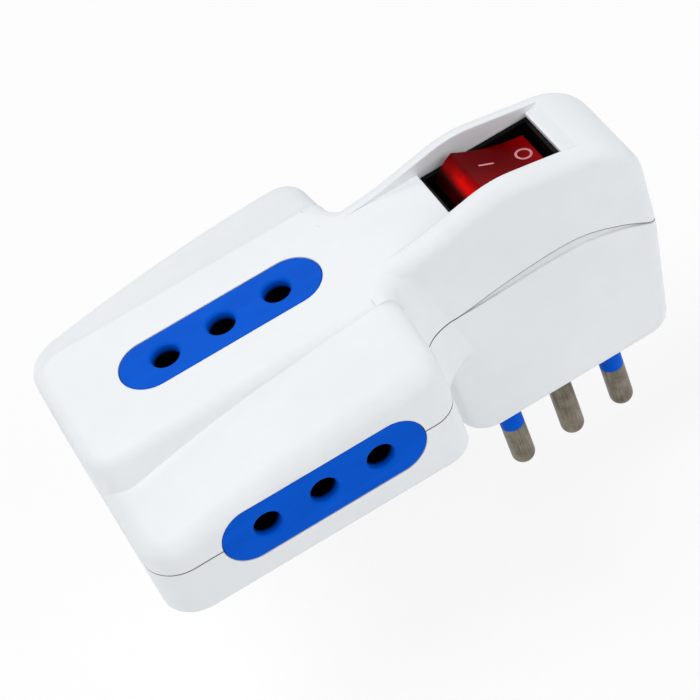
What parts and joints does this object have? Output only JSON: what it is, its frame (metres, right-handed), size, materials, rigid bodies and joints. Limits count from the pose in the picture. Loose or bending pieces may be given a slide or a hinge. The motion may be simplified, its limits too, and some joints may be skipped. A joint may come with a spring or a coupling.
{
  "type": "switched plug adapter",
  "caption": "Plug adapter with in-line pins, a lit rocker switch over the plug and a block with oval sockets on top and on both sides.",
  "frame": {"origin": "on the earth pin's axis, in the flat face of the plug head that meets the wall socket", "axes": "+Z out of the wall and away from the pins' tips, +X from the socket block towards the plug head's free end, -Y the near side in the picture"},
  "size_m": [0.0946, 0.0528, 0.0636],
  "materials": {
    "white_shell": "white moulded plastic, fine matte grain",
    "blue_plastic": "blue moulded plastic, satin",
    "pin_metal": "nickel-plated brass, drawn and slightly dull",
    "brass_strip": "pressed brass strip",
    "black_frame": "black moulded plastic",
    "red_rocker": "translucent red plastic",
    "steel": "zinc-plated steel",
    "lamp_glass": "clear glass of a small neon lamp",
    "resistor_body": "coated resistor"
  },
  "bodies": {
    "adapter": {"upper_housing": "white_shell", "lower_housing": "white_shell", "top_socket_insert": "blue_plastic", "near_socket_insert": "blue_plastic", "far_socket_insert": "blue_plastic", "neutral_pin": "pin_metal", "earth_pin": "pin_metal", "line_pin": "pin_metal", "neutral_pin_sleeve": "blue_plastic", "line_pin_sleeve": "blue_plastic", "neutral_busbar": "brass_strip", "earth_busbar": "brass_strip", "line_busbar": "brass_strip", "switched_link": "brass_strip", "supply_link": "brass_strip", "switch_body": "black_frame", "lamp_terminal": "brass_strip", "supply_terminal": "brass_strip", "load_terminal": "brass_strip", "housing_screws": "steel", "top_neutral_contact": "brass_strip", "top_earth_contact": "brass_strip", "top_line_contact": "brass_strip", "near_neutral_contact": "brass_strip", "near_earth_contact": "brass_strip", "near_line_contact": "brass_strip", "far_neutral_contact": "brass_strip", "far_earth_contact": "brass_strip", "far_line_contact": "brass_strip"},
    "rocker": {"rocker": "red_rocker", "plunger": "black_frame", "plunger_spring": "steel", "neon_lamp": "lamp_glass", "lamp_resistor": "resistor_body"},
    "blade": {"contact_blade": "brass_strip"}
  },
  "joints": [
    {"name": "rocker_press", "type": "hinge", "parent": "adapter", "child": "rocker", "pos_m": [0.00155, 0, 0.0352], "axis": [0, -1, 0], "range_deg": [0, 40]},
    {"name": "blade_tip", "type": "hinge", "parent": "adapter", "child": "blade", "pos_m": [0.00155, 0, 0.0281], "axis": [0, 1, 0], "range_deg": [0, 16]}
  ],
  "couplings": [
    {"joint": "blade_tip", "follows": "rocker_press", "ratio": 0.4}
  ]
}
